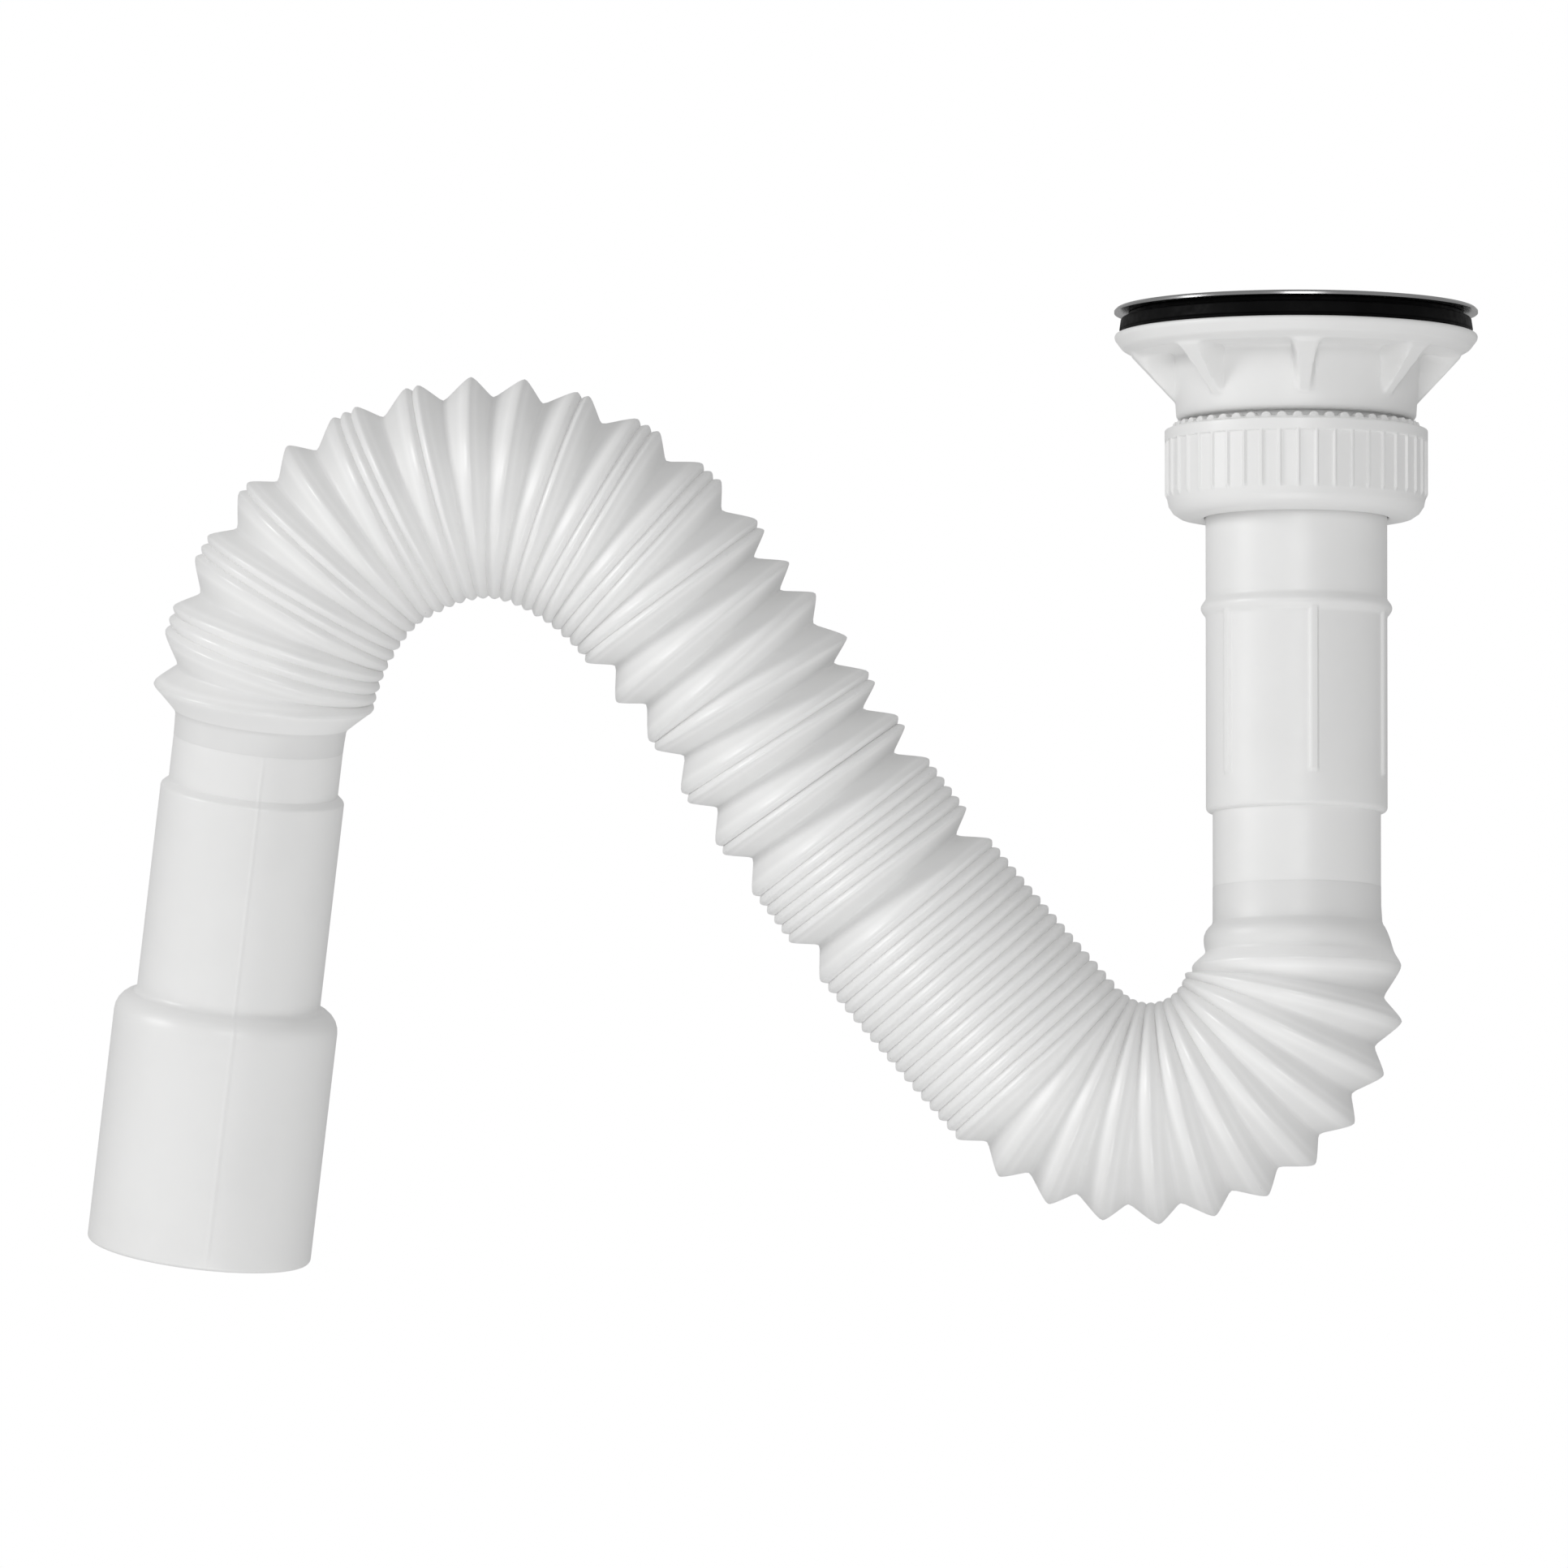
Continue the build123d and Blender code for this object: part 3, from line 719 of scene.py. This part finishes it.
# The skin between two crests: a share of the way across, and inwards by the fold's depth there.
# A shut fold is a round bead, an open one two slants that meet at the root,
# and each angle lies between them by its own pitch.
def foldRows(shares, inner):
    turn = fullTurn(hose["around"])[..., None]
    centre = ridges[:, None, :3, 3]
    reach = np.full((len(ridges), 1, 1), hose["crest"])
    reach[0] -= hose["firstInset"]
    crest = centre + reach * (np.cos(turn) * ridges[:, None, :3, 0] + np.sin(turn) * ridges[:, None, :3, 1])
    step = crest[1:] - crest[:-1]
    pitch = np.linalg.norm(step, axis=2)
    along = step / pitch[..., None]
    inward = (centre[1:] + centre[:-1] - crest[1:] - crest[:-1]) / 2
    inward = inward - along * (inward * along).sum(2)[..., None]
    inward /= np.linalg.norm(inward, axis=2)[..., None]
    ends = np.array([hose["pitches"][fold] for fold in hose["folds"]])
    wide, tight = ends.max(1)[:, None], ends.min(1)[:, None]
    openAll = np.array([fold == "O" for fold in hose["folds"]])[:, None]
    openSide = np.array([fold in "UL" for fold in hose["folds"]])[:, None]
    part = np.clip((pitch - tight) / np.maximum(wide - tight, 1e-6), 0, 1)
    openness = np.where(openAll, 1.0, np.where(openSide, part ** hose["openPower"], 0.0))
    # an open fold is a triangle with the two slants as its sides and the widest pitch as its base
    spread = np.where(openAll, pitch, wide)
    rootAt = (hose["longSlant"] ** 2 - hose["shortSlant"] ** 2 + spread**2) / (2 * spread**2)
    deep = np.sqrt(np.maximum(hose["longSlant"] ** 2 - (rootAt * spread) ** 2, 0))
    bead = hose["beadGroove"] * np.minimum(1, pitch / hose["beadPitch"]) ** 2
    depth = (bead + (deep - bead) * openness)[:, None]
    root = (0.5 + (rootAt - 0.5) * openness)[:, None]
    # rows are packed so that the middle one runs along the root
    share = shares[None, :, None]
    at = np.where(share <= 0.5, share * 2 * root, root + (share - 0.5) * 2 * (1 - root))
    near = np.minimum(share, 1 - share) * 2
    lift, width = hose["rootRound"]
    slant = depth * (near - lift * np.exp(-(((1 - near) / width) ** 2)))
    slant = np.sqrt(slant**2 + hose["crestRound"] ** 2) - hose["crestRound"]
    limit, archShare = hose["archReach"], hose["archShare"]
    arch = (1 - np.sqrt(1 - (limit * near) ** 2)) / (1 - math.sqrt(1 - limit**2))
    swell = depth * (archShare * arch + (1 - archShare) * (0.5 - 0.5 * np.cos(np.pi * near)))
    mixIn = smoothStep(openness, 0.0, 0.7)[:, None]
    sink = swell + (slant - swell) * mixIn
    if inner:
        packed = hose["packed"] + hose["packGap"]
        sink = packed + (sink + hose["wall"] - packed) * smoothStep(openness, 0.2, 1.0)[:, None]
    rows = crest[:-1, None] + step[:, None] * at[..., None] + inward[:, None] * sink[..., None]
    flat = -1, hose["around"]
    shut = np.broadcast_to(1 - mixIn, sink.shape)
    return rows.reshape(*flat, 3), sink.reshape(flat), shut.reshape(flat)


# Rows with one depth all over, and none of them shut
def plainRows(points, depth, sleeve=0.0):
    blank = np.ones(points.shape[:2])
    return points, depth * blank, 0 * blank, sleeve * blank


def makeHose():
    angle = fullTurn(hose["around"])
    top = np.diag([-1.0, 1.0, -1.0, 1.0])
    top[2, 3] = hose["top"]
    end = ridges[-1]
    tailAt, left, right = np.array(hose["tailCuff"]).T[..., None]
    outletAt, outletRadius = np.array(hose["outletCuff"]).T[..., None]
    rightness = smoothStep(-np.cos(angle), 0.3, 1.0)
    tailSkin = circleRows(top, tailAt[:, 0], left + (right - left) * rightness, angle)
    # painted shade on the cuffs where the pipes lie inside them
    tailCuff = plainRows(tailSkin, 1.0, 1 - smoothStep(tailAt, *hose["tailShadeSpan"]))
    outletSkin = circleRows(end, outletAt[:, 0], outletRadius, angle)
    outletCuff = plainRows(outletSkin, 1.0, smoothStep(outletAt, *hose["outletShadeSpan"]))
    lastCrest = plainRows(circleRows(end, [0.0], [hose["crest"]], angle), 0.0)
    tailBore = circleRows(top, [0.0, hose["tailBoreEnd"]], [hose["tailBore"]] * 2, angle)
    outletBore = circleRows(end, [hose["outletBoreStart"], outletAt[-1, 0]], [hose["outletBore"]] * 2, angle)
    skin, sink, shut = foldRows(rowShares, False)
    inside = foldRows(liningShares, True)[0]
    # the lower piece ends at the root of the split fold, where the upper one starts
    cut = hose["splitFold"] * len(rowShares) + int(np.argmax(rowShares == 0.5))
    insideCut = hose["splitFold"] * len(liningShares) + int(np.argmax(liningShares == 0.5))
    folds = skin, sink, shut, 0 * sink
    lowerFolds = [values[: cut + 1] for values in folds]
    upperFolds = [values[cut:] for values in folds]
    lowerLining = np.concatenate([tailBore, inside[: insideCut + 1]])[::-1]
    upperLining = np.concatenate([inside[insideCut:], outletBore])[::-1]
    made = []
    for name, lining, *parts in (
        ("bellows_hose_lower", lowerLining, tailCuff, lowerFolds),
        ("bellows_hose_upper", upperLining, upperFolds, lastCrest, outletCuff),
    ):
        parts.append(plainRows(lining, hose["deepest"]))
        rows, depth, closed, sleeve = (np.concatenate(values) for values in zip(*parts))
        marks = {"groove": depth / hose["deepest"], "sleeve": sleeve, "shut": closed}
        piece = pieceFrom(name, [ringShell(rows)], hosePlastic, hose["sharp"], marks)
        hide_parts("bellows_hose")
        made.append(piece)
    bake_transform(made[0])
    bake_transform(made[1])


makeHose()


outlet = {
    "start": 12.7,
    "outline": [
        (14.7, -11.0, 0.3), (16.9, -11.0, 0.5), (16.9, -2.25, 0.02), (18.9, -2.25, 0.02), (18.9, 7.9, 0.15),
        (20.5, 9.3, 1.1), (20.5, 56.2, 1.4), (24.97, 57.49, 4.9), (24.97, 113.25, 0.9), (22.8, 113.25, 0.5),
        (22.8, 62.3, 0.6), (18.3, 55.8, 0.8), (18.3, 9.8, 0.5), (14.7, 7.6, 0.5),
    ],
    "seamAngle": -100.0,
    "seamRadius": 21.0,
    "seamHalf": 0.25,
    "seamSoft": 0.2,
    "seamRise": 0.12,
    "seamStart": (-1.8, -0.9),
    "seamEnd": (-112.6, -111.6),
    "outerSide": (18.4, 18.8),
    "wideBore": (22.9, 56.5),
    "around": 420,
}


def makeOutlet():
    # a turned outline with a fine seam down two sides, where the mould's halves met
    angle = fullTurn(outlet["around"])
    loop = filledLoop(roundedLoop(outlet["outline"], 6), 3.0)
    radius, height = loop[:, :1], loop[:, 1:]
    outside = smoothStep(radius, *outlet["outerSide"]) * smoothStep(height, *outlet["seamStart"])
    outside = outside * smoothStep(-height, *outlet["seamEnd"])
    boreRadius, boreStart = outlet["wideBore"]
    inBore = (radius < boreRadius) & (height > boreStart)
    place = 2, outlet["seamAngle"], outlet["seamRadius"]
    seam = aroundMask(angle, *place, outlet["seamHalf"], outlet["seamSoft"])
    rise = outlet["seamRise"] * np.where(inBore, 0, outside) * seam
    local = turnedGrid(radius + rise, height + outlet["start"], angle)
    rows = local @ ridges[-1][:3, :3].T + ridges[-1][:3, 3]
    piece = pieceFrom("outlet_spigot_moulding", [ringShell(rows)], whitePlastic)
    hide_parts("outlet_spigot")
    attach(piece, "outlet")


makeOutlet()


studio = {
    "floor": -1.9,
    "floorReach": 30.0,
    "floorShades": [(0.3, (0.88, 0.88, 0.88)), (0.7, (0.9, 0.9, 0.9))],
    "floorLift": 0.36,
    "ambient": 0.5,
    "lamps": {
        "left": {"place": (-2.35, -0.8, 0.75), "size": 0.9, "power": 19.5},
        "front": {"place": (0.1, -2.3, 0.35), "size": 0.9, "power": 8.8},
        "low": {"place": (-0.06, -1.15, -1.7), "size": 1.2, "power": 11.5},
    },
    "aim": (-0.1137, 0.0, -0.105),
    "distance": 8.0,
    "elevation": -5.5,
    "seenWidth": 0.3477,
    "sensor": 36.0,
}


def makeStudio():
    material, tree, shader, coords = newMaterial("pale_floor")
    shade = rampOn(tree, noiseOn(tree, coords, 3, 2), studio["floorShades"])
    tree.links.new(shade, shader.inputs["Base Color"])
    shader.inputs["Roughness"].default_value = 0.9
    # seen straight on, the floor is lifted towards the white behind it
    lift = addNode(tree, "ShaderNodeMath", operation="MULTIPLY")
    tree.links.new(tree.nodes.new("ShaderNodeLightPath").outputs["Is Camera Ray"], lift.inputs[0])
    lift.inputs[1].default_value = studio["floorLift"]
    shader.inputs["Emission Color"].default_value = (1, 1, 1, 1)
    tree.links.new(lift.outputs[0], shader.inputs["Emission Strength"])
    mesh = bpy.data.meshes.new("floor")
    low, reach = studio["floor"], studio["floorReach"]
    corners = [(-reach, -reach, low), (reach, -reach, low), (reach, reach, low), (-reach, reach, low)]
    mesh.from_pydata(corners, [], [(0, 1, 2, 3)])
    mesh.materials.append(material)
    floor = bpy.data.objects.new("floor", mesh)
    scene.collection.objects.link(floor)

    # white where the camera sees it, and a dimmer white as light
    world = bpy.data.worlds.new("studio")
    scene.world = world
    world.use_nodes = True
    tree = world.node_tree
    back = tree.nodes["Background"]
    back.inputs["Color"].default_value = (1, 1, 1, 1)
    path = tree.nodes.new("ShaderNodeLightPath")
    shown = addNode(tree, "ShaderNodeMath", operation="MAXIMUM")
    tree.links.new(path.outputs["Is Camera Ray"], shown.inputs[0])
    tree.links.new(path.outputs["Is Transmission Ray"], shown.inputs[1])
    level = tree.nodes.new("ShaderNodeMapRange")
    level.inputs["To Min"].default_value = studio["ambient"]
    level.inputs["To Max"].default_value = 1.0
    tree.links.new(shown.outputs[0], level.inputs["Value"])
    tree.links.new(level.outputs["Result"], back.inputs["Strength"])
    scene.view_settings.view_transform = "Standard"

    aim = Vector(studio["aim"])
    for name, told in studio["lamps"].items():
        lamp = bpy.data.lights.new(name, "AREA")
        lamp.shape = "DISK"
        lamp.size = told["size"]
        lamp.energy = told["power"]
        softbox = bpy.data.objects.new(name, lamp)
        softbox.location = told["place"]
        softbox.rotation_euler = (aim - softbox.location).to_track_quat("-Z", "Y").to_euler()
        scene.collection.objects.link(softbox)
    lens = bpy.data.cameras.new("camera")
    lens.sensor_width = studio["sensor"]
    lens.lens = studio["sensor"] * studio["distance"] / studio["seenWidth"]
    camera = bpy.data.objects.new("camera", lens)
    rise = math.radians(studio["elevation"])
    away = Vector((0, -math.cos(rise), math.sin(rise)))
    camera.location = aim + away * studio["distance"]
    camera.rotation_euler = (-away).to_track_quat("-Z", "Y").to_euler()
    scene.collection.objects.link(camera)
    scene.camera = camera
    print("studio ready")


makeStudio()
